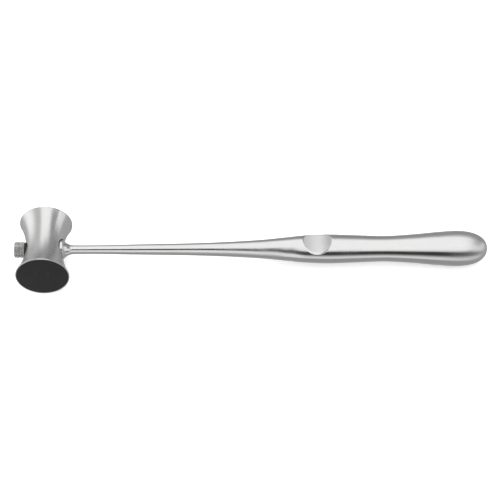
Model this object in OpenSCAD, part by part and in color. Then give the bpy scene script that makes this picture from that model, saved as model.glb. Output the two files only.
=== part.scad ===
// Reflex hammer with a hidden needle.
// A turned steel head shaped like an hourglass carries a domed rubber buffer at each end.
// A one-piece steel handle passes through its waist and is clamped there by a knurled nut.
// A knurled knob screws into the handle's end and carries a needle that is stored in the bore.
// Lies along +X with the head's own axis along Y and the thumb rest facing +Z.

/* [Overall] */
// Length from the needle knob's end to the end of the grip
overall_len = 209; // [180:1:260]

/* [Head] */
// Length of the steel head, rim to rim
head_len = 30.2; // [24:0.1:40]
// Diameter of each rim
rim_d = 23.2; // [20:0.1:30]
// Diameter at the waist
waist_d = 16.2; // [14:0.1:20]
// How far each rubber buffer bulges out past its rim
dome_h = 1.9; // [0.5:0.1:4]

/* [Handle] */
// Diameter of the flange that bears on the head
flange_d = 9; // [7:0.1:11]
// Diameter of the shaft at its thinnest
shaft_d = 3.87; // [3.4:0.01:6]
// Diameter of the handle at the thumb rest
thumb_d = 12.9; // [9:0.1:16]
// Diameter of the grip behind the thumb rest
neck_d = 11.4; // [8:0.1:14]
// Largest diameter of the grip, near its end
bulb_d = 15.8; // [12:0.1:20]
// Depth of the thumb rest's hollow
rest_depth = 3.7; // [1:0.1:5]
// Radius of the thumb rest's hollow
rest_r = 7.5; // [6:0.1:14]

/* [Needle and knob] */
// Diameter of the knurled nut and knob
knob_d = 7; // [6:0.1:9]
// Pitch of the needle thread
pitch = 0.5; // [0.35:0.05:0.75]
// Turns of thread that hold the needle knob
turns = 8; // [4:1:10]
// Needle diameter
needle_d = 1.2; // [0.8:0.1:1.4]
// Needle length, point included
needle_len = 24.5; // [18:0.5:26]

/* [Hidden] */
$fn = 96;
// Radial clearance of every shaft in its hole
fit_gap = 0.03;
// Clearance between faces that meet only lightly
face_gap = 0.05;
// Amount by which a cutting tool overshoots
over = 1;
// A step too small to matter, which keeps edges from falling on each other
nudge = 0.01;

// Stations along the handle, measured from the head's centre
knob_end_x = -12.9;
nut_out_x = -10.66;
nut_in_x = -8.54;
seat_x = 6.85;
flange_x = 8.16;
shaft_x = 13;
thin_x = 17;
thumb_x = 125;
rest_x = 119.5;
neck_x = 149.5;
bulb_x = 182;
grip_end_x = overall_len + knob_end_x;

// The frame's origin is under the middle of the whole length, on the lowest point
rim_r = rim_d / 2;
waist_r = waist_d / 2;
head_x = -(knob_end_x + grip_end_x) / 2;

// The head's outline is one hollow arc from rim to rim
rim_land = 0.4;
rim_edge = 0.12;
arc_half = head_len / 2 - rim_land;
arc_rise = rim_r - waist_r;
arc_r = (arc_half * arc_half + arc_rise * arc_rise) / (2 * arc_rise);

// Buffer: disc, plug and snap rib, and the socket that takes them
lip = 0.4;
recess_depth = 0.4;
recess_r = rim_r - lip;
disc_r = recess_r - face_gap;
plug_r = 6;
plug_len = 7;
rib_r = 6.7;
rib_len = 1.6;
rib_at = 4.4;
plug_edge = 0.5;
dome_r = (pow(disc_r, 2) + pow(dome_h, 2)) / (2 * dome_h);

// Tang, clamp nut and thread
tang_r = 2.25;
tang_thread_x = -7.6;
thread_depth = 0.27;
thread_flat = 0.12;
collar_r = 3.1;
nut_seat_x = -7.44;
seat_gap = 0.2;

// Knurl of the nut and the knob
knob_r = knob_d / 2;
knurl_teeth = 18;
knurl_rows = 4;
knurl_depth = 0.28;
band_edge = 0.32;
root_overlap = 1;

// Needle knob and needle
stem_r = 1.5;
stem_len = turns * pitch;
stem_room = 0.2;
needle_r = needle_d / 2;
needle_hold = 4.9;
point_len = 4;
point_r = 0.05;
bore_r = 0.8;
bore_end_x = 16;

// Rise of the handle between two stations: share of the way along, share of the rise
taper = [[0.09, 0.02], [0.19, 0.07], [0.315, 0.119], [0.435, 0.172], [0.54, 0.255],
         [0.63, 0.35], [0.73, 0.5], [0.825, 0.723], [0.91, 0.922]];
ease = [[0.45, 0.43]];
swell = [[0.41, 0.325], [0.75, 0.78]];
span_steps = 5;
cap_steps = 18;
cap_power = 2.3;

// A station part way from a to b
function between(a, b, curve) =
    [for (c = curve) [a[0] + c[0] * (b[0] - a[0]), a[1] + c[1] * (b[1] - a[1])]];

thin = [thin_x, shaft_d / 2];
thumb = [thumb_x, thumb_d / 2];
neck = [neck_x, neck_d / 2];
bulb = [bulb_x, bulb_d / 2];
stations = concat([thin], between(thin, thumb, taper), [thumb], between(thumb, neck, ease),
                  [neck], between(neck, bulb, swell), [bulb]);
last = len(stations) - 1;

// Slope of the outline at station i: level at each end and at each high or low point
function rise(i) = (stations[i + 1][1] - stations[i][1]) / (stations[i + 1][0] - stations[i][0]);
function slope(i) =
    i == 0 || i == last || rise(i - 1) * rise(i) <= 0 ? 0
    : 2 * rise(i - 1) * rise(i) / (rise(i - 1) + rise(i));

// Radius and place of the smooth outline at share t of span i
function on_span(i, t) =
    let (a = stations[i], b = stations[i + 1], w = b[0] - a[0])
    [(2 * t * t * t - 3 * t * t + 1) * a[1] + (t * t * t - 2 * t * t + t) * w * slope(i)
     + (3 * t * t - 2 * t * t * t) * b[1] + (t * t * t - t * t) * w * slope(i + 1),
     a[0] + t * w];

// Rounded end of the grip
function on_cap(s) =
    let (a = 90 * s)
    [bulb[1] * pow(cos(a), 2 / cap_power),
     bulb_x + (grip_end_x - bulb_x) * pow(sin(a), 2 / cap_power)];

outline = concat(
    [[0, shaft_x], [shaft_d / 2, shaft_x]],
    [for (i = [0 : last - 1]) for (k = [0 : span_steps - 1]) on_span(i, k / span_steps)],
    [for (k = [0 : cap_steps]) on_cap(k / cap_steps)]);

// Places what is drawn around the head's centre
module at_head() {
    translate([head_x, 0, rim_r]) children();
}

// Turns a shape drawn along +Z to lie along +X
module along_x() {
    rotate([0, 90, 0]) children();
}

// Turns a shape drawn along +Z to lie along +Y or, for side = -1, along -Y
module along_y(side = 1) {
    rotate([-90 * side, 0, 0]) children();
}

// A round bar along X from station x0 to station x1
module bar(r, x0, x1) {
    translate([x0, 0, 0]) along_x() cylinder(r = r, h = x1 - x0);
}

// An outside thread drawn as V grooves, along X from station x0 to station x1
module threaded_bar(r, x0, x1) {
    crests = floor((x1 - x0) / pitch + nudge);
    half = (pitch - thread_flat) / 2;
    translate([x0, 0, 0]) along_x() rotate_extrude() difference() {
        square([r, x1 - x0]);
        for (i = [0 : crests - 1])
            translate([r, (i + 0.5) * pitch])
                polygon([[nudge, -half], [-thread_depth, 0], [nudge, half]]);
    }
}

// A band with a diamond knurl, along X from station x0 to station x1.
// Its surface is a grid of points, in turn high and low, between two plain end rings.
module knurled_band(x0, x1) {
    w = x1 - x0;
    cols = 2 * knurl_teeth;
    rows = knurl_rows + 1;
    turn = 360 / cols;
    function at(j, k) = j * cols + k % cols;
    function high(j, k) = (j + k) % 2 == 0;
    function grid_r(j, k) =
        j == 0 || j == rows ? knob_r - band_edge : high(j, k) ? knob_r : knob_r - knurl_depth;
    function grid_z(j) =
        j == 0 ? 0 : j == rows ? w
        : band_edge + (w - 2 * band_edge) * (j - 1) / (knurl_rows - 1);
    points = [for (j = [0 : rows]) for (k = [0 : cols - 1])
        [grid_r(j, k) * cos(k * turn), grid_r(j, k) * sin(k * turn), grid_z(j)]];
    skin = [for (j = [0 : rows - 1]) for (k = [0 : cols - 1]) for (half = [0, 1])
        let (a = at(j, k), b = at(j, k + 1), c = at(j + 1, k + 1), d = at(j + 1, k))
        high(j, k) ? (half == 0 ? [a, d, b] : [b, d, c]) : (half == 0 ? [a, d, c] : [a, c, b])];
    ends = [[for (k = [0 : cols - 1]) at(0, k)], [for (k = [cols - 1 : -1 : 0]) at(rows, k)]];
    translate([x0, 0, 0]) along_x() polyhedron(points = points, faces = concat(skin, ends));
}

// Socket for one buffer, drawn along +Z from the head's centre
module buffer_socket() {
    face = head_len / 2;
    translate([0, 0, face - recess_depth]) cylinder(r = recess_r, h = recess_depth + over);
    translate([0, 0, face - recess_depth - plug_len - stem_room])
        cylinder(r = plug_r + face_gap, h = plug_len + stem_room + over);
    translate([0, 0, face - recess_depth - rib_at - rib_len - stem_room / 2])
        cylinder(r = rib_r + face_gap, h = rib_len + stem_room);
}

// One buffer, drawn along +Z from the head's centre
module buffer() {
    floor_z = head_len / 2 - recess_depth;
    translate([0, 0, floor_z]) {
        intersection() {
            cylinder(r = disc_r, h = recess_depth + dome_h);
            translate([0, 0, recess_depth + dome_h - dome_r]) sphere(r = dome_r, $fn = 180);
        }
        translate([0, 0, -plug_len + plug_edge]) cylinder(r = plug_r, h = plug_len - plug_edge);
        translate([0, 0, -plug_len]) cylinder(r1 = plug_r - plug_edge, r2 = plug_r, h = plug_edge);
        translate([0, 0, -rib_at - rib_len]) cylinder(r1 = plug_r, r2 = rib_r, h = rib_len / 2);
        translate([0, 0, -rib_at - rib_len / 2]) cylinder(r = rib_r, h = rib_len / 2);
    }
}

module head_body() {
    color([0.74, 0.75, 0.76]) at_head() difference() {
        along_y() rotate_extrude($fn = 180) difference() {
            polygon([[0, -head_len / 2], [rim_r - rim_edge, -head_len / 2],
                     [rim_r, -head_len / 2 + rim_edge], [rim_r, head_len / 2 - rim_edge],
                     [rim_r - rim_edge, head_len / 2], [0, head_len / 2]]);
            translate([waist_r + arc_r, 0]) circle(r = arc_r, $fn = 360);
        }
        along_y(-1) buffer_socket();
        along_y(1) buffer_socket();
        bar(tang_r + fit_gap, -rim_r, rim_r);
        bar(flange_d / 2 + seat_gap, seat_x, rim_r);
        bar(collar_r + seat_gap, -rim_r, nut_seat_x);
    }
}

module front_buffer() {
    color([0.13, 0.13, 0.13]) at_head() along_y(-1) buffer();
}

module rear_buffer() {
    color([0.13, 0.13, 0.13]) at_head() along_y(1) buffer();
}

// Flange and the hollow flare that runs down from it to the shaft
module flange() {
    drop = flange_d / 2 - shaft_d / 2;
    run = shaft_x - flange_x;
    flare_r = (run * run + drop * drop) / (2 * drop);
    along_x() rotate_extrude() difference() {
        polygon([[0, seat_x], [flange_d / 2, seat_x], [flange_d / 2, flange_x],
                 [shaft_d / 2, shaft_x], [0, shaft_x]]);
        translate([shaft_d / 2 + flare_r, shaft_x]) circle(r = flare_r, $fn = 240);
    }
}

module handle() {
    color([0.78, 0.79, 0.8]) at_head() difference() {
        union() {
            threaded_bar(tang_r, nut_out_x, tang_thread_x);
            bar(tang_r, tang_thread_x, seat_x);
            flange();
            along_x() rotate_extrude() polygon(outline);
        }
        bar(stem_r + fit_gap, nut_out_x - over, nut_out_x + stem_len + stem_room);
        bar(bore_r, nut_out_x, bore_end_x);
        translate([rest_x, 0, thumb_d / 2 - rest_depth + rest_r])
            along_y() cylinder(r = rest_r, h = 2 * thumb_d, center = true);
    }
}

module clamp_nut() {
    color([0.66, 0.67, 0.68]) at_head() difference() {
        union() {
            knurled_band(nut_out_x, nut_in_x);
            bar(collar_r, nut_in_x - root_overlap, nut_seat_x);
        }
        bar(tang_r + fit_gap, nut_out_x - over, nut_seat_x + over);
    }
}

module needle_knob() {
    inner_x = nut_out_x - face_gap;
    stem_end_x = inner_x + stem_len;
    color([0.68, 0.69, 0.7]) at_head() difference() {
        union() {
            knurled_band(knob_end_x, inner_x);
            threaded_bar(stem_r, inner_x - root_overlap, stem_end_x);
        }
        bar(needle_r + fit_gap, stem_end_x - needle_hold - face_gap, stem_end_x + over);
    }
}

module needle() {
    tail_x = nut_out_x - face_gap + stem_len - needle_hold;
    tip_x = tail_x + needle_len;
    color([0.82, 0.83, 0.84]) at_head() {
        bar(needle_r, tail_x, tip_x - point_len);
        translate([tip_x - point_len, 0, 0]) along_x()
            cylinder(r1 = needle_r, r2 = point_r, h = point_len);
    }
}

head_body();
front_buffer();
rear_buffer();
handle();
clamp_nut();
needle_knob();
needle();
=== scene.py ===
import math

import bmesh
import bpy
import numpy as np
from mathutils import Matrix, Vector


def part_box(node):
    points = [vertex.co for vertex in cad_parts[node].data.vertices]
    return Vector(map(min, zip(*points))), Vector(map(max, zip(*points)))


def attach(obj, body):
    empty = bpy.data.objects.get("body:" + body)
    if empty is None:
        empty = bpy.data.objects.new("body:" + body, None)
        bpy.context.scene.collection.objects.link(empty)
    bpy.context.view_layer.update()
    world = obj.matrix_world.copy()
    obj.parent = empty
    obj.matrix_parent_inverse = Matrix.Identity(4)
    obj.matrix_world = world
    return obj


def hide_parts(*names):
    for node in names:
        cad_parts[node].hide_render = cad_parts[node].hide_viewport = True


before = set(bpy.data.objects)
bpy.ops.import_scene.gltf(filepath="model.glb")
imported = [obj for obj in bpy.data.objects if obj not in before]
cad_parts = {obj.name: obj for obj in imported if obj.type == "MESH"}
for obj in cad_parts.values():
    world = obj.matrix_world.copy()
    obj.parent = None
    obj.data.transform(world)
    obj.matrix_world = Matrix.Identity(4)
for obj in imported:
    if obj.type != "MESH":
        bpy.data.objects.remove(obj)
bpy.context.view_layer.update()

# Sizes are in millimetres and stations are measured from the head's centre, as in the CAD.
# MM turns them into metres when a mesh is made.
MM = 0.001


# ---------------------------------------------------------------- sizes from the frame

def node_box(node):
    """Lowest and highest corner of a CAD node in millimetres from the head's centre."""
    low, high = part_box(node)
    return (Vector(low) - HEAD) / MM, (Vector(high) - HEAD) / MM


head_low, head_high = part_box("head_body")
HEAD = (Vector(head_low) + Vector(head_high)) / 2
_, head_high = node_box("head_body")
_, handle_high = node_box("handle")
nut_low, nut_high = node_box("clamp_nut")
knob_low, knob_high = node_box("needle_knob")
needle_low, needle_high = node_box("needle")
_, buffer_high = node_box("rear_buffer")

RIM_R = head_high.z
HEAD_HALF = head_high.y
DOME_TOP = buffer_high.y
DISC_R = buffer_high.z
GRIP_END = handle_high.x
BULB_R = handle_high.z
NUT_OUT, NUT_SEAT = nut_low.x, nut_high.x
KNOB_END, STEM_END = knob_low.x, knob_high.x
KNOB_R = knob_high.z
NEEDLE_TAIL, NEEDLE_TIP = needle_low.x, needle_high.x
NEEDLE_R = needle_high.z

# Sizes that the frame's boxes don't give, the same as in the CAD
WAIST_R = 8.1
RIM_LAND = 0.4
RECESS = 0.4
RECESS_R = RIM_R - 0.4
PLUG_R, PLUG_LEN, PLUG_EDGE = 6.0, 7.0, 0.5
RIB_R, RIB_LEN, RIB_AT = 6.7, 1.6, 4.4
GAP = 0.05
TANG_R, TANG_HOLE_R = 2.25, 2.28
SEAT_X, FLANGE_X, FLANGE_R = 6.85, 8.16, 4.5
FLANGE_SEAT_R, NUT_SEAT_R = 4.7, 3.3
SHAFT_X, SHAFT_R = 13.0, 1.935
BORE_R, BORE_END = 0.8, 16.0
STEM_R, STEM_HOLE_R, STEM_HOLE_LEN = 1.5, 1.53, 4.2
COLLAR_R, NUT_IN = 3.1, -8.54
KNOB_IN = NUT_OUT - GAP
PITCH, THREAD_DEPTH = 0.5, 0.27
NEEDLE_HOLE_R, NEEDLE_HOLD, POINT_LEN = 0.63, 4.95, 4.0
REST_X, REST_R, REST_DEPTH, THUMB_R = 119.5, 7.5, 3.7, 6.45

# The thumb rest's hollow is a little shallower than in the CAD, and its floor rises from the
# middle by the square of the distance over REST_CURVE. Its lip is rounded over LIP, plus
# LIP_FRONT or LIP_BACK times the amount by which the surface faces up less than LIP_STEEP.
REST_FLOOR = THUMB_R - REST_DEPTH + 0.35
REST_CURVE = 12.4
LIP, LIP_STEEP, LIP_FRONT, LIP_BACK = 0.4, 0.85, 2.4, 0.5

# Knurl: teeth round the band, depth, length of one diamond, mesh steps in it, bevelled edge
TEETH = 18
KNURL_DEPTH = 0.3
KNURL_LEN = 1.22
KNURL_STEPS = 24
EDGE = 0.32

# Handle outline: stations of (distance, radius), and the shares of way and rise in between
THIN = (17.0, SHAFT_R)
THUMB = (125.0, THUMB_R)
NECK = (149.5, 5.7)
BULB = (182.0, BULB_R)
TAPER = [(0.09, 0.02), (0.19, 0.07), (0.315, 0.119), (0.435, 0.172), (0.54, 0.255),
         (0.63, 0.35), (0.73, 0.5), (0.825, 0.723), (0.91, 0.922)]
EASE = [(0.45, 0.43)]
SWELL = [(0.41, 0.325), (0.75, 0.78)]
CAP_POWER = 2.3


# ---------------------------------------------------------------- outline of the handle

def between(a, b, curve):
    """Stations part way from a to b."""
    return [(a[0] + s * (b[0] - a[0]), a[1] + t * (b[1] - a[1])) for s, t in curve]


STATIONS = np.array([THIN, *between(THIN, THUMB, TAPER), THUMB, *between(THUMB, NECK, EASE),
                     NECK, *between(NECK, BULB, SWELL), BULB])


def station_slopes():
    """Slope at each station: level at the ends and at each high or low point."""
    rise = np.diff(STATIONS[:, 1]) / np.diff(STATIONS[:, 0])
    slopes = np.zeros(len(STATIONS))
    for i in range(1, len(STATIONS) - 1):
        if rise[i - 1] * rise[i] > 0:
            slopes[i] = 2 * rise[i - 1] * rise[i] / (rise[i - 1] + rise[i])
    return slopes


SLOPES = station_slopes()


def grip_radius(x):
    """Radius of the round handle at distance x, from the thinnest point to the bulb."""
    i = min(int(np.searchsorted(STATIONS[:, 0], x, side="right")) - 1, len(STATIONS) - 2)
    (xa, ra), (xb, rb) = STATIONS[i], STATIONS[i + 1]
    w = xb - xa
    t = (x - xa) / w
    return ((2 * t**3 - 3 * t**2 + 1) * ra + (t**3 - 2 * t**2 + t) * w * SLOPES[i]
            + (3 * t**2 - 2 * t**3) * rb + (t**3 - t**2) * w * SLOPES[i + 1])


# ---------------------------------------------------------------- mesh helpers

# Local +Z of a turned piece lies along the handle, or along the head towards -Y or +Y
ALONG_X = Matrix.Rotation(math.radians(90), 4, "Y")
TO_REAR = Matrix.Rotation(math.radians(-90), 4, "X")
TO_FRONT = Matrix.Rotation(math.radians(90), 4, "X")


def rounded(points, steps=5):
    """An outline of (radius, height) points. A third number rounds that corner."""
    out = []
    for i, point in enumerate(points):
        here = np.array(point[:2], float)
        if len(point) < 3 or i in (0, len(points) - 1):
            out.append(here)
            continue
        arms = []
        for other in (points[i - 1], points[i + 1]):
            arm = np.array(other[:2], float) - here
            length = np.linalg.norm(arm)
            arms.append(here + arm / length * min(point[2], length / 2))
        for t in np.linspace(0, 1, steps + 1):
            out.append((1 - t)**2 * arms[0] + 2 * t * (1 - t) * here + t**2 * arms[1])
    return out


def turned_mesh(name, outline, segments, shape=None, loop=False, grooved=False):
    """A mesh swept round local Z. shape(angles, radius, height) may change the radius.
    grooved splits each quad along its deeper diagonal, so slanted grooves come out straight."""
    angles = np.linspace(0, 2 * math.pi, segments, endpoint=False)
    verts, rings, reach = [], [], []
    for radius, height in outline:
        if radius < 1e-6:
            rings.append([len(verts)])
            verts.append((0.0, 0.0, height * MM))
            reach.append(0.0)
            continue
        radii = np.full(segments, radius)
        if shape:
            radii = shape(angles, radii, height)
        rings.append(range(len(verts), len(verts) + segments))
        verts += [(r * MM * math.cos(a), r * MM * math.sin(a), height * MM)
                  for r, a in zip(radii, angles)]
        reach += list(radii)
    if loop:
        rings.append(rings[0])
    faces = []
    for low, high in zip(rings, rings[1:]):
        for k in range(segments):
            n = (k + 1) % segments
            if len(low) == 1:
                faces.append((low[0], high[n], high[k]))
            elif len(high) == 1:
                faces.append((low[k], low[n], high[0]))
            elif grooved and reach[low[k]] + reach[high[n]] < reach[low[n]] + reach[high[k]]:
                faces += [(low[k], low[n], high[n]), (low[k], high[n], high[k])]
            elif grooved:
                faces += [(low[k], low[n], high[k]), (low[n], high[n], high[k])]
            else:
                faces.append((low[k], low[n], high[n], high[k]))
    mesh = bpy.data.meshes.new(name)
    mesh.from_pydata(verts, [], faces)
    work = bmesh.new()
    work.from_mesh(mesh)
    bmesh.ops.recalc_face_normals(work, faces=work.faces)
    work.to_mesh(mesh)
    work.free()
    return mesh


def piece(name, mesh, placed, material, body, node, sharp=32):
    """A finished piece in place: it rides on a body and stands for one CAD node."""
    mesh.shade_smooth()
    mesh.set_sharp_from_angle(angle=math.radians(sharp))
    mesh.materials.clear()
    mesh.materials.append(material)
    obj = bpy.data.objects.new(name, mesh)
    bpy.context.scene.collection.objects.link(obj)
    obj.matrix_world = Matrix.Translation(HEAD) @ placed
    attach(obj, body)
    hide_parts(node)
    return obj


def cut(mesh, cutters):
    """The mesh with cutter meshes, given with their placing matrices, taken away."""
    scene = bpy.context.scene
    target = bpy.data.objects.new("cut_target", mesh)
    scene.collection.objects.link(target)
    helpers = []
    for cutter, placed in cutters:
        helper = bpy.data.objects.new("cutter", cutter)
        scene.collection.objects.link(helper)
        helper.matrix_world = placed
        helpers.append(helper)
        step = target.modifiers.new("cut", "BOOLEAN")
        step.operation = "DIFFERENCE"
        step.solver = "EXACT"
        step.object = helper
    bpy.context.view_layer.update()
    graph = bpy.context.evaluated_depsgraph_get()
    result = bpy.data.meshes.new_from_object(target.evaluated_get(graph))
    for helper in [target, *helpers]:
        bpy.data.objects.remove(helper)
    return result


# ---------------------------------------------------------------- material helpers

class Nodes:
    """A short way to add and link shader nodes."""

    def __init__(self, tree):
        self.tree = tree
        tree.nodes.clear()

    def add(self, kind, inputs=None, **settings):
        node = self.tree.nodes.new(kind)
        for key, value in settings.items():
            setattr(node, key, value)
        for key, value in (inputs or {}).items():
            self.put(node.inputs[key], value)
        return node

    def put(self, socket, value):
        if isinstance(value, bpy.types.NodeSocket):
            self.tree.links.new(value, socket)
        else:
            socket.default_value = value

    def math(self, operation, a, b=0.0):
        return self.add("ShaderNodeMath", {0: a, 1: b}, operation=operation).outputs[0]

    def vector(self, operation, a, b=(0.0, 0.0, 0.0)):
        node = self.add("ShaderNodeVectorMath", {0: a}, operation=operation)
        if operation == "SCALE":
            self.put(node.inputs["Scale"], b)
        elif operation not in ("LENGTH", "NORMALIZE"):
            self.put(node.inputs[1], b)
        return node.outputs["Value" if operation == "LENGTH" else "Vector"]

    def ramp(self, value, low, high, to_low=0.0, to_high=1.0, smooth=True):
        node = self.add("ShaderNodeMapRange", {"Value": value, "From Min": low, "From Max": high,
                                               "To Min": to_low, "To Max": to_high})
        node.interpolation_type = "SMOOTHSTEP" if smooth else "LINEAR"
        return node.outputs["Result"]

    def noise(self, vector, scale, detail=3.0, rough=0.55):
        node = self.add("ShaderNodeTexNoise", {"Vector": vector, "Scale": scale,
                                               "Detail": detail, "Roughness": rough})
        return node.outputs["Fac"]

    def mix(self, factor, a, b, kind="RGBA"):
        node = self.add("ShaderNodeMix", data_type=kind)
        self.put(node.inputs["Factor"], factor)
        self.put(node.inputs["A"], a)
        self.put(node.inputs["B"], b)
        return node.outputs["Result"]


def new_material(name):
    material = bpy.data.materials.new(name)
    material.use_nodes = True
    nodes = Nodes(material.node_tree)
    shader = nodes.add("ShaderNodeBsdfPrincipled")
    out = nodes.add("ShaderNodeOutputMaterial")
    nodes.put(out.inputs["Surface"], shader.outputs["BSDF"])
    return material, nodes, shader


def grey(level, warm=0.0):
    """A colour near grey; warm above 0 leans it to yellow."""
    return (level * (1 + warm), level, level * (1 - warm), 1.0)


class Place:
    """Object coordinates on a piece that was turned round local Z. along is local Z and
    across is local X."""

    def __init__(self, nodes):
        self.point = nodes.add("ShaderNodeTexCoord").outputs["Object"]
        self.flat = nodes.vector("MULTIPLY", self.point, (1.0, 1.0, 0.0))
        self.from_axis = nodes.vector("LENGTH", self.flat)
        split = nodes.add("ShaderNodeSeparateXYZ", {"Vector": self.point})
        self.across, self.along = split.outputs["X"], split.outputs["Z"]


def fine_lines(nodes, place, lengthwise):
    """Fine marks round local Z, as turning leaves, or lengthwise, as polishing leaves."""
    around = nodes.vector("NORMALIZE", place.flat)
    if lengthwise:
        step, turns = nodes.math("MULTIPLY", place.along, 90.0), 26.0
    else:
        out = nodes.math("ADD", place.along, place.from_axis)
        step, turns = nodes.math("MULTIPLY", out, 8000.0), 1.2
    lift = nodes.add("ShaderNodeCombineXYZ", {"Z": step}).outputs["Vector"]
    lines = nodes.vector("ADD", nodes.vector("SCALE", around, turns), lift)
    return nodes.noise(lines, 1.0, 5.0, 0.62)


def scratches(nodes, place, smudge):
    """Hairlines where a stretched noise crosses its middle value, on the smudged parts."""
    slant = nodes.add("ShaderNodeMapping", {"Vector": place.point, "Rotation": (0.5, 0.9, 0.3),
                                            "Scale": (1400.0, 150.0, 420.0)}).outputs["Vector"]
    ridge = nodes.math("ABSOLUTE", nodes.math("SUBTRACT", nodes.noise(slant, 1.0, 1.0), 0.5))
    return nodes.math("MULTIPLY", nodes.ramp(ridge, 0.0, 0.012, 1.0, 0.0),
                      nodes.ramp(smudge, 0.45, 0.65))


def knurl_patches_and_shade(nodes, place, colour, wear, level):
    """Dark patches on a knurl, and painted shade that makes the bottoms of its grooves and its
    collar nearly black.
    """
    patchy = nodes.ramp(nodes.noise(place.point, 900.0, 2.0, 0.5), 0.35, 0.65, 0.0, 0.6)
    colour = nodes.mix(patchy, colour, grey(level * 0.5, 0.02))
    # the painted shade starts outside the end face and the stem, which lie further in and stay
    # unshaded
    shade_starts_at = (COLLAR_R - 0.2) * MM
    bottom = (KNOB_R - KNURL_DEPTH) * MM
    # painted shade: the collar and the bottoms of the knurl's grooves are darkened nearly to black
    knurl_painted_shade = nodes.math("MULTIPLY", nodes.ramp(place.from_axis, shade_starts_at, shade_starts_at + 0.1 * MM),
                      nodes.ramp(place.from_axis, bottom - 0.09 * MM, bottom + 0.06 * MM,
                                 0.97, 0.0))
    return nodes.mix(knurl_painted_shade, colour, grey(level * 0.03, 0.05)), wear


def head_seat_shade(nodes, place, colour, wear, _):
    """Painted shade that darkens the seats for the flange and the nut, which lie round the head's
    local X.
    """
    from_hole = nodes.vector("LENGTH", nodes.vector("MULTIPLY", place.point, (0.0, 1.0, 1.0)))
    edge = nodes.ramp(place.across, -MM, MM, NUT_SEAT_R * MM, FLANGE_SEAT_R * MM)
    gap = nodes.math("SUBTRACT", from_hole, edge)
    # painted shade: the seats and the cross hole, out to just past the seats' edges, are darkened
    # nearly to black
    seat_painted_shade = nodes.ramp(gap, 0.02 * MM, 0.1 * MM, 0.95, 0.0)
    return nodes.mix(seat_painted_shade, colour, grey(0.02, 0.05)), wear


def handle_wear_and_shade(nodes, place, colour, wear, level):
    """Painted shade as a dark crevice at the flange's seat, and duller steel in the thumb rest and
    towards the grip's end. The thumb rest has a paler colour, with painted shade that darkens it
    towards the grip."""
    # painted shade: the tang and the flange's face against the head, up to just past the seat, are
    # darkened
    crevice_painted_shade = nodes.ramp(place.along, (SEAT_X + 0.1) * MM, (SEAT_X + 0.3) * MM, 0.9, 0.0)
    colour = nodes.mix(crevice_painted_shade, colour, grey(level * 0.06, 0.05))
    rest = rest_mask(nodes, place)
    # painted shade: the thumb rest's colour goes from pale to dark towards the grip's end
    rest_painted_shade = nodes.ramp(place.along, (REST_X + 1.5) * MM, (REST_X + 6.5) * MM)
    rest_tone_and_shade = nodes.mix(rest_painted_shade, grey(0.82), grey(0.56))
    colour = nodes.mix(nodes.math("MULTIPLY", rest, 0.9), colour, rest_tone_and_shade)
    end = nodes.ramp(place.along, (BULB[0] - 10) * MM, (BULB[0] + 10) * MM)
    wear = nodes.math("ADD", wear, nodes.math("MULTIPLY", rest, 0.5))
    return colour, nodes.math("ADD", wear, nodes.math("MULTIPLY", end, 0.2))


def rest_mask(nodes, place):
    """1 in the hollow of the thumb rest, 0 elsewhere and on the rounded lip below its floor."""
    offset = nodes.math("ABSOLUTE", nodes.math("SUBTRACT", place.along, REST_X * MM))
    inside = nodes.ramp(offset, (REST_R - 0.9) * MM, (REST_R - 0.1) * MM, 1.0, 0.0)
    outline = nodes.ramp(place.along, (REST_X - REST_R) * MM, (REST_X + REST_R) * MM,
                         (grip_radius(REST_X - REST_R) + 0.05) * MM, THUMB_R * MM, smooth=False)
    depth = nodes.math("SUBTRACT", outline, place.from_axis)
    # world +Z is local -X, so a point's height over the handle's axis is minus its X
    bend = nodes.math("MULTIPLY", nodes.math("POWER", offset, 2.0), 1 / (REST_CURVE * MM))
    floor = nodes.math("ADD", bend, REST_FLOOR * MM)
    drop = nodes.math("ADD", floor, place.across)
    mask = nodes.math("MULTIPLY", inside, nodes.ramp(depth, 0.04 * MM, 0.3 * MM))
    return nodes.math("MULTIPLY", mask, nodes.ramp(drop, 0.1 * MM, 0.5 * MM, 1.0, 0.0))


def steel(name, level, rough, stretch, grain, extra_marks_and_shade=None, lengthwise=False):
    """Satin steel with fine lines, clouds, smudges and hairline scratches. extra_marks_and_shade
    adds what only that piece has, painted shade among it."""
    material, nodes, shader = new_material(name)
    place = Place(nodes)
    lines = fine_lines(nodes, place, lengthwise)
    cloud = nodes.noise(place.point, 240.0, 5.0, 0.65)
    smudge = nodes.noise(place.point, 60.0, 2.0, 0.5)
    scratch = scratches(nodes, place, smudge)

    colour = nodes.mix(cloud, grey(level * 0.94, 0.006), grey(level * 1.05, 0.002))
    colour = nodes.mix(nodes.ramp(lines, 0.35, 0.65, 0.0, 0.2), colour, grey(level * 0.9))
    colour = nodes.mix(nodes.math("MULTIPLY", scratch, 0.15), colour, grey(level * 1.15))
    wear = nodes.math("ADD", nodes.ramp(lines, 0.3, 0.7, -0.03, 0.04),
                      nodes.ramp(smudge, 0.35, 0.7, -0.02, 0.05))
    wear = nodes.math("ADD", wear, nodes.math("MULTIPLY", scratch, 0.08))
    if extra_marks_and_shade:
        colour, wear = extra_marks_and_shade(nodes, place, colour, wear, level)

    shader.inputs["Metallic"].default_value = 1.0
    shader.inputs["Specular Tint"].default_value = (0.8, 0.8, 0.8, 1.0)
    shader.inputs["Anisotropic"].default_value = stretch
    shader.inputs["Anisotropic Rotation"].default_value = 0.25
    tangent = nodes.add("ShaderNodeTangent", direction_type="RADIAL", axis="Z")
    nodes.put(shader.inputs["Tangent"], tangent.outputs["Tangent"])
    nodes.put(shader.inputs["Base Color"], colour)
    nodes.put(shader.inputs["Roughness"], nodes.math("ADD", wear, rough))
    bump = nodes.add("ShaderNodeBump", {"Strength": grain, "Distance": 0.00002, "Height": lines})
    nodes.put(shader.inputs["Normal"], bump.outputs["Normal"])
    return material


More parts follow.
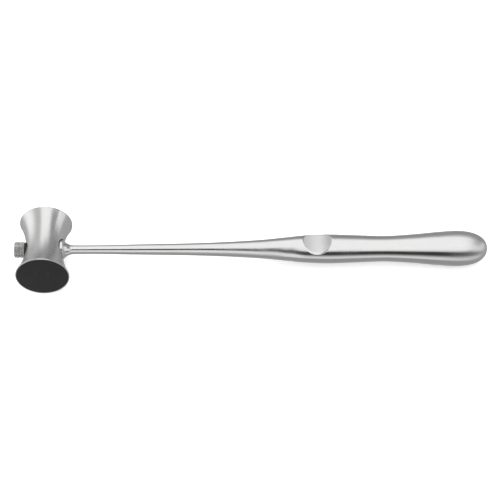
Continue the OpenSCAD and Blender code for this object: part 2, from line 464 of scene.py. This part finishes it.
def rubber():
    """Matte black rubber with a fine moulded grain and a faintly scuffed crown."""
    material, nodes, shader = new_material("buffer_rubber")
    place = Place(nodes)
    cloud = nodes.noise(place.point, 260.0, 5.0, 0.6)
    fine = nodes.noise(place.point, 3200.0, 3.0, 0.6)
    stretched = nodes.vector("MULTIPLY", place.point, (900.0, 260.0, 500.0))
    scuff = nodes.noise(stretched, 1.0, 4.0, 0.7)
    crown = nodes.ramp(place.from_axis, 4.0 * MM, 9.5 * MM, 1.0, 0.0)
    marks = nodes.math("MULTIPLY", crown, nodes.ramp(scuff, 0.58, 0.75, 0.0, 0.5))
    colour = nodes.mix(cloud, grey(0.0125), grey(0.018, 0.01))
    colour = nodes.mix(marks, colour, grey(0.03, 0.02))
    nodes.put(shader.inputs["Base Color"], colour)
    nodes.put(shader.inputs["Roughness"], nodes.ramp(fine, 0.3, 0.7, 0.68, 0.86))
    shader.inputs["Specular IOR Level"].default_value = 0.25
    bump = nodes.add("ShaderNodeBump", {"Strength": 0.35, "Distance": 0.00004, "Height": fine})
    nodes.put(shader.inputs["Normal"], bump.outputs["Normal"])
    return material


HEAD_STEEL = steel("head_steel", 0.62, 0.25, 0.3, 0.02, head_seat_shade)
HANDLE_STEEL = steel("handle_steel", 0.61, 0.15, 0.2, 0.02, handle_wear_and_shade, lengthwise=True)
KNURLED_STEEL = steel("knurled_steel", 0.64, 0.26, 0.0, 0.1, knurl_patches_and_shade)
NEEDLE_STEEL = steel("needle_steel", 0.7, 0.14, 0.3, 0.05)
RUBBER = rubber()


# ---------------------------------------------------------------- head

def hourglass(height):
    """Radius of the head's hollow outline at a height along its axis."""
    half = HEAD_HALF - RIM_LAND
    rise = RIM_R - WAIST_R
    arc = (half**2 + rise**2) / (2 * rise)
    return WAIST_R + arc - math.sqrt(arc**2 - height**2)


def head_end(side):
    """Outline of one end, from the bottom of its socket out to the start of the arc."""
    floor = HEAD_HALF - RECESS
    ribs = floor - RIB_AT
    points = [(0, floor - PLUG_LEN - 0.2), (PLUG_R + GAP, floor - PLUG_LEN - 0.2, 0.4),
              (PLUG_R + GAP, ribs - RIB_LEN - 0.1), (RIB_R + GAP, ribs - RIB_LEN - 0.1),
              (RIB_R + GAP, ribs + 0.1), (PLUG_R + GAP, ribs + 0.1),
              (PLUG_R + GAP, floor, 0.2), (RECESS_R, floor, 0.08), (RECESS_R, HEAD_HALF, 0.08),
              (RIM_R, HEAD_HALF, 0.14), (RIM_R, HEAD_HALF - RIM_LAND, 0.1)]
    return [(r, side * h, *rest) for r, h, *rest in points]


def head_mesh():
    half = HEAD_HALF - RIM_LAND
    arc = [(hourglass(h), h) for h in np.linspace(half, -half, 72)[1:-1]]
    outline = rounded([*head_end(1), *arc, *head_end(-1)[::-1]])
    body = turned_mesh("head_body", outline, 224)
    hole = turned_mesh("cross_hole", [(0, -20), (TANG_HOLE_R, -20), (TANG_HOLE_R, 20), (0, 20)], 96)
    seat = turned_mesh("flange_seat", [(0, SEAT_X), (FLANGE_SEAT_R, SEAT_X), (FLANGE_SEAT_R, 20),
                                       (0, 20)], 128)
    nut = turned_mesh("nut_seat", [(0, -20), (NUT_SEAT_R, -20), (NUT_SEAT_R, NUT_SEAT),
                                   (0, NUT_SEAT)], 128)
    # the head's local Z lies along Y, so the handle's direction is its local X
    across = ALONG_X
    return cut(body, [(hole, across), (seat, across), (nut, across)])


piece("head_shell", head_mesh(), TO_REAR, HEAD_STEEL, "hammer", "head_body", 24)


# ---------------------------------------------------------------- buffers

def buffer_mesh(name):
    floor = HEAD_HALF - RECESS
    ribs = floor - RIB_AT
    high = DOME_TOP - HEAD_HALF
    ball = (DISC_R**2 + high**2) / (2 * high)
    start = math.asin(DISC_R / ball)
    dome = [(ball * math.sin(a), DOME_TOP - ball * (1 - math.cos(a)))
            for a in np.linspace(start, 0, 36)[1:-1]]
    outline = rounded([
        (0, floor - PLUG_LEN), (PLUG_R - PLUG_EDGE, floor - PLUG_LEN, 0.2),
        (PLUG_R, floor - PLUG_LEN + PLUG_EDGE), (PLUG_R, ribs - RIB_LEN),
        (RIB_R, ribs - RIB_LEN / 2, 0.2), (RIB_R, ribs, 0.2), (PLUG_R, ribs),
        (PLUG_R, floor, 0.2), (DISC_R, floor, 0.06), (DISC_R, HEAD_HALF, 0.22), *dome,
        (0, DOME_TOP)])
    return turned_mesh(name, outline, 192)


piece("front_dome", buffer_mesh("front_dome"), TO_FRONT, RUBBER, "hammer",
      "front_buffer", 40)
piece("rear_dome", buffer_mesh("rear_dome"), TO_REAR, RUBBER, "hammer",
      "rear_buffer", 40)


# ---------------------------------------------------------------- handle

def thumb_rest(angles, radii, height):
    """Cuts the hollow of the thumb rest into the handle, with a softly polished edge.
    World +Z is local -X, so the hollow is centred on half a turn."""
    along = height - REST_X
    if abs(along) > REST_R or height < SHAFT_X:
        return radii
    floor = REST_FLOOR + along**2 / REST_CURVE
    facing = -np.cos(angles)
    hollow = np.where(facing > 0.05, floor / np.maximum(facing, 0.05), 1e3)
    # the lip is crisp, but rounder low down at the front, where the thumb slides off
    growth = np.where(np.sin(angles) < 0, LIP_FRONT, LIP_BACK)
    soft = LIP + growth * np.clip(LIP_STEEP - facing, 0, 1)
    near = np.maximum(soft - np.abs(radii - hollow), 0) / soft
    return np.minimum(radii, hollow) - near**2 * soft / 4


def handle_outline():
    stem_floor = NUT_OUT + STEM_HOLE_LEN
    tang = rounded([
        (0, BORE_END), (BORE_R, BORE_END, 0.2), (BORE_R, stem_floor, 0.1),
        (STEM_HOLE_R, stem_floor, 0.1), (STEM_HOLE_R, NUT_OUT, 0.12), (TANG_R, NUT_OUT, 0.15),
        (TANG_R, SEAT_X, 0.1), (FLANGE_R, SEAT_X, 0.12), (FLANGE_R, FLANGE_X, 0.16),
        (FLANGE_R - 0.3, FLANGE_X + 0.22)])[:-1]
    drop = FLANGE_R - SHAFT_R
    run = SHAFT_X - FLANGE_X
    arc = (run**2 + drop**2) / (2 * drop)
    flare = [(SHAFT_R + arc - math.sqrt(arc**2 - (SHAFT_X - x)**2), x)
             for x in np.linspace(FLANGE_X, SHAFT_X, 40)[2:]]
    rough = np.arange(THIN[0], BULB[0], 0.75)
    fine = np.arange(REST_X - REST_R, REST_X + REST_R, 0.16)
    outside = (rough < fine[0] - 0.1) | (rough > fine[-1] + 0.1)
    grip = [(grip_radius(x), x) for x in np.sort(np.concatenate([rough[outside], fine]))]
    turn = np.linspace(0, math.pi / 2, 48)
    cap = [(BULB_R * math.cos(a)**(2 / CAP_POWER),
            BULB[0] + (GRIP_END - BULB[0]) * math.sin(a)**(2 / CAP_POWER)) for a in turn[:-1]]
    return [*tang, *flare, *grip, *cap, (0, GRIP_END)]


piece("handle_bar", turned_mesh("handle_bar", handle_outline(), 208, thumb_rest), ALONG_X,
      HANDLE_STEEL, "hammer", "handle", 40)


# ---------------------------------------------------------------- knurled nut and needle knob

def wave(t):
    """0 at whole numbers, 1 half way between them."""
    return 1 - np.abs(2 * (t - np.floor(t)) - 1)


def knurled(low, high):
    """A shape function that presses two crossed sets of spiral grooves between two heights."""
    def shape(angles, radii, height):
        if not low <= height <= high or radii[0] < KNOB_R - EDGE - 0.01:
            return radii
        turn = angles * TEETH / (2 * math.pi)
        shift = (height - low) / KNURL_LEN
        rise = np.minimum(wave(turn + shift), wave(turn - shift))
        tip = KNOB_R - KNURL_DEPTH * (1 - np.minimum(rise * 1.15, 1.0))
        edge = KNOB_R - EDGE + min(height - low, high - height)
        return np.minimum(tip, edge)
    return shape


def band(low, high):
    """Outline points of a knurled band, with plain ends."""
    inner = KNOB_R - EDGE
    heights = np.arange(low, high - 0.02, KNURL_LEN / KNURL_STEPS)[1:]
    return [(inner, low), *[(KNOB_R, h) for h in heights], (inner, high)]


def nut_mesh():
    outline = [
        *band(NUT_OUT, NUT_IN), *rounded([
            (KNOB_R - EDGE, NUT_IN), (COLLAR_R, NUT_IN, 0.08), (COLLAR_R, NUT_SEAT, 0.12),
            (TANG_HOLE_R, NUT_SEAT, 0.1), (TANG_HOLE_R, NUT_OUT, 0.12),
            (KNOB_R - EDGE, NUT_OUT)])[1:-1]]
    return turned_mesh("knurled_nut", outline, TEETH * KNURL_STEPS, knurled(NUT_OUT, NUT_IN),
                       loop=True, grooved=True)


def knob_mesh():
    press = knurled(KNOB_END, KNOB_IN)
    stem = [(STEM_R, x) for x in np.arange(KNOB_IN + 0.05, STEM_END - 0.1, 0.045)]

    def shape(angles, radii, height):
        if height > KNOB_IN and abs(radii[0] - STEM_R) < 1e-6:
            # right-handed: the crest moves along +Z of the stem as the angle grows
            groove = wave((height - KNOB_IN) / PITCH - angles / (2 * math.pi))
            return radii - THREAD_DEPTH * (1 - np.minimum(groove * 1.2, 1.0))
        return press(angles, radii, height)

    outline = [
        *rounded([(0, KNOB_END), (KNOB_R - EDGE - 0.35, KNOB_END), (KNOB_R - EDGE, KNOB_END)]),
        *band(KNOB_END, KNOB_IN)[1:], (STEM_R - THREAD_DEPTH + 0.1, KNOB_IN), *stem,
        (STEM_R - THREAD_DEPTH, STEM_END), (NEEDLE_HOLE_R, STEM_END),
        (NEEDLE_HOLE_R, STEM_END - NEEDLE_HOLD), (0, STEM_END - NEEDLE_HOLD)]
    return turned_mesh("knurled_knob", outline, TEETH * KNURL_STEPS, shape, grooved=True)


piece("knurled_nut", nut_mesh(), ALONG_X, KNURLED_STEEL, "hammer", "clamp_nut")
piece("knurled_knob", knob_mesh(), ALONG_X, KNURLED_STEEL, "needle_knob",
      "needle_knob")


# ---------------------------------------------------------------- needle

def needle_mesh():
    point = NEEDLE_TIP - POINT_LEN
    outline = rounded([(0, NEEDLE_TAIL), (NEEDLE_R, NEEDLE_TAIL, 0.12), (NEEDLE_R, point, 0.8),
                       (0.05, NEEDLE_TIP - 0.02, 0.03), (0, NEEDLE_TIP)])
    return turned_mesh("stored_needle", outline, 64)


piece("stored_needle", needle_mesh(), ALONG_X, NEEDLE_STEEL, "needle", "needle")


# ---------------------------------------------------------------- floor

def floor_slope():
    """The floor leans a little, so that both the head and the grip's end rest on it."""
    xs = np.linspace(THUMB[0], BULB[0] + 2, 400)
    return min((RIM_R - grip_radius(min(x, BULB[0]))) / x for x in xs)


# Half the floor's width in metres, and its gap below the head's rims in millimetres
FLOOR_HALF = 4.0
FLOOR_GAP = 0.02


def make_floor():
    mesh = bpy.data.meshes.new("floor")
    mesh.from_pydata([(x * FLOOR_HALF, y * FLOOR_HALF, 0)
                      for x, y in ((-1, -1), (1, -1), (1, 1), (-1, 1))], [], [(0, 1, 2, 3)])
    material, nodes, shader = new_material("pale_floor")
    where = nodes.add("ShaderNodeTexCoord").outputs["Object"]
    colour = nodes.mix(nodes.noise(where, 6.0), grey(0.86), grey(0.88))
    nodes.put(shader.inputs["Base Color"], colour)
    shader.inputs["Roughness"].default_value = 0.9
    shader.inputs["Specular IOR Level"].default_value = 0.1
    # a light table: it glows a little, which keeps the shadow faint
    shader.inputs["Emission Color"].default_value = grey(1.0)
    shader.inputs["Emission Strength"].default_value = 0.4
    mesh.materials.append(material)
    obj = bpy.data.objects.new("floor", mesh)
    bpy.context.scene.collection.objects.link(obj)
    below = Vector((HEAD.x, 0, HEAD.z - RIM_R * MM - FLOOR_GAP * MM))
    obj.matrix_world = (Matrix.Translation(below)
                        @ Matrix.Rotation(-math.atan(floor_slope()), 4, "Y"))
    # the pale sheet lights the scene, but the steel mirrors the darker studio round it
    obj.visible_glossy = False


make_floor()


# ---------------------------------------------------------------- light

def studio_glow(nodes, x, y, z):
    """Brightness of the studio by direction: a broad box overhead, a lit wall at the left, a
    dark panel and a lit edge at the right, a dull wall low at the back, grey ground, and in
    front a lit strip below a dark gap."""

    def up(value, low, high):
        return nodes.ramp(value, low, high)

    def down(value, low, high):
        return nodes.ramp(value, low, high, 1.0, 0.0)

    def inside(value, low, high, blur):
        return both(up(value, low - blur, low + blur), down(value, high - blur, high + blur))

    def both(*masks):
        result = masks[0]
        for mask in masks[1:]:
            result = nodes.math("MULTIPLY", result, mask)
        return result

    def over(mask, below, level):
        return nodes.mix(mask, below, level, "FLOAT")

    # low at the back the dark panel at the right reaches further in
    reach = nodes.math("MULTIPLY", both(down(z, 0.35, 0.75), up(y, 0.2, 0.5)), 0.25)
    right = up(nodes.math("ADD", x, reach), 0.3, 0.52)
    walls = over(both(up(y, 0.45, 0.75), inside(x, -0.3, 0.3, 0.1)), 0.74, 0.48)
    sky = over(both(right, up(y, -0.35, -0.05)), walls, 0.38)
    sky = over(both(right, down(y, -0.35, -0.05)), sky, 1.1)
    sky = nodes.math("MULTIPLY", sky, nodes.ramp(z, -0.05, 0.35, 0.75, 1.0))
    sky = over(down(x, -0.95, -0.62), sky, 1.42)
    sky = over(both(up(x, 0.84, 0.93), up(z, -0.08, 0.16), down(z, 0.45, 0.6)), sky, 1.15)

    # the overhead box starts higher at the back, except at the left
    lean = nodes.math("MULTIPLY", both(up(x, -0.06, 0.05), up(y, 0.1, 0.4)), 0.14)
    overhead = up(nodes.math("SUBTRACT", z, lean), 0.36, 0.74)
    sky = over(both(inside(x, -0.31, 0.43, 0.06), overhead), sky, 1.39)

    ground = nodes.ramp(x, -0.3, 0.4, 0.65, 0.55)
    ground = over(both(down(x, -0.9, -0.6), up(z, -0.4, -0.05)), ground, 1.2)
    ground = over(both(down(y, -0.3, 0.1), down(z, -0.62, -0.48)), ground, 0.45)
    glow = over(up(z, -0.1, 0.03), ground, sky)

    front = down(y, -0.6, -0.3)
    strip = nodes.ramp(z, -0.45, 0.08, 1.05, 0.1)
    glow = over(both(front, inside(z, -0.58, 0.2, 0.07)), glow, strip)
    return over(both(front, inside(z, 0.02, 0.44, 0.06), inside(x, -0.85, 0.62, 0.1)), glow, 0.06)


def make_world():
    world = bpy.data.worlds.new("studio")
    bpy.context.scene.world = world
    world.use_nodes = True
    nodes = Nodes(world.node_tree)
    toward = nodes.add("ShaderNodeTexCoord").outputs["Generated"]
    axes = nodes.add("ShaderNodeSeparateXYZ", {"Vector": toward})
    glow = studio_glow(nodes, *(axes.outputs[k] for k in "XYZ"))
    shade = nodes.add("ShaderNodeBackground", {"Color": (1, 1, 1, 1), "Strength": glow})
    out = nodes.add("ShaderNodeOutputWorld")
    nodes.put(out.inputs["Surface"], shade.outputs["Background"])


def glowing_sheet(name, corners, faces, level, mirrored):
    """A sheet of even brightness. It is seen only in glossy surfaces, or only by the camera."""
    mesh = bpy.data.meshes.new(name)
    mesh.from_pydata(corners, [], faces)
    material, _, shader = new_material(name)
    shader.inputs["Base Color"].default_value = grey(0.02)
    shader.inputs["Specular IOR Level"].default_value = 0.0
    shader.inputs["Emission Color"].default_value = grey(1.0)
    shader.inputs["Emission Strength"].default_value = level
    mesh.materials.append(material)
    obj = bpy.data.objects.new(name, mesh)
    bpy.context.scene.collection.objects.link(obj)
    obj.visible_diffuse = obj.visible_shadow = False
    obj.visible_camera, obj.visible_glossy = not mirrored, mirrored


def upright_card(name, outline, level):
    """A card in front of the shaft. The outline is (x, height) in metres."""
    glowing_sheet(name, [(x, CARD_Y, height) for x, height in outline],
                  [tuple(range(len(outline)))], level, True)


def overhead_card(name, low, high, height, level):
    """A card lying flat at a height, from its low (x, y) to its high (x, y)."""
    corners = [(low[0], low[1]), (high[0], low[1]), (high[0], high[1]), (low[0], high[1])]
    glowing_sheet(name, [(x, y, height) for x, y in corners], [(0, 1, 2, 3)], level, True)


def make_backdrop():
    """Pale walls round the floor, so that low views see no studio behind the hammer."""
    ring = [(-1, -1), (1, -1), (1, 1), (-1, 1)]
    corners = [(x * FLOOR_HALF, y * FLOOR_HALF, z) for z in (-1.0, FLOOR_HALF) for x, y in ring]
    faces = [(k, (k + 1) % 4, (k + 1) % 4 + 4, k + 4) for k in range(4)]
    glowing_sheet("backdrop", corners, faces, 1.0, False)


def area_light(name, place, aim, width, height, power):
    data = bpy.data.lights.new(name, "AREA")
    data.shape = "RECTANGLE"
    data.size, data.size_y, data.energy = width, height, power
    obj = bpy.data.objects.new(name, data)
    bpy.context.scene.collection.objects.link(obj)
    obj.location = place
    obj.rotation_euler = (Vector(aim) - Vector(place)).to_track_quat("-Z", "Y").to_euler()
    obj.visible_camera = False
    obj.visible_glossy = False


# Upright cards stand at this Y. They give the shaft its light and dark bands. The grey card
# ends at LOW_EDGE, the pale card at HIGH_EDGE, and the dark card lies above that.
CARD_Y = -0.12
LOW_EDGE = [(0.006, -0.06), (0.0, -0.04), (-0.008, -0.012), (-0.024, 0.0), (-0.11, 0.0)]
HIGH_EDGE = [(-0.11, 0.09), (-0.022, 0.09), (-0.009, 0.062), (0.001, 0.03), (0.006, 0.012)]

make_world()
make_backdrop()
upright_card("grey_card", [(-0.11, -0.08), (0.004, -0.08), *LOW_EDGE], 0.55)
upright_card("pale_card", [*LOW_EDGE, *HIGH_EDGE, (0.014, 0.0), (0.014, -0.05)], 1.2)
upright_card("dark_card", [*HIGH_EDGE, (0.02, 0.012), (0.02, 0.05), (0.006, 0.08), (-0.002, 0.115),
                           (-0.013, 0.165), (-0.024, 0.25), (-0.11, 0.26)], 0.06)
# a lit card above and beyond the grip's end
overhead_card("end_card", (0.115, -0.26), (0.205, 0.11), 0.16, 1.4)
area_light("key", (-0.2, -0.2, 1.2), (0, 0, 0), 2.0, 2.0, 14.0)


# ---------------------------------------------------------------- camera

# Angles are in degrees, the rest in millimetres. The camera aims at a point that lies
# AIM_RIGHT and AIM_DOWN from the head's centre in its own view.
VIEW_AZIMUTH, VIEW_ELEVATION, VIEW_ROLL = -4.75, 49.5, 3.41
VIEW_DISTANCE, AIM_RIGHT, AIM_DOWN = 614.0, 90.2, 0.07
LENS = 100.8


def make_camera():
    data = bpy.data.cameras.new("camera")
    data.lens = LENS
    data.sensor_width = 36.0
    data.clip_start, data.clip_end = 0.01, 20
    data.dof.use_dof = False
    camera = bpy.data.objects.new("camera", data)
    bpy.context.scene.collection.objects.link(camera)
    a, e = math.radians(VIEW_AZIMUTH), math.radians(VIEW_ELEVATION)
    back = Vector((math.sin(a) * math.cos(e), -math.cos(a) * math.cos(e), math.sin(e)))
    turn = (-back).to_track_quat("-Z", "Y").to_matrix() @ Matrix.Rotation(
        math.radians(VIEW_ROLL), 3, "Z")
    aim = HEAD + turn @ Vector((AIM_RIGHT * MM, -AIM_DOWN * MM, 0))
    camera.matrix_world = Matrix.Translation(aim + back * VIEW_DISTANCE * MM) @ turn.to_4x4()
    bpy.context.scene.camera = camera


make_camera()
bpy.context.scene.view_settings.view_transform = "Standard"
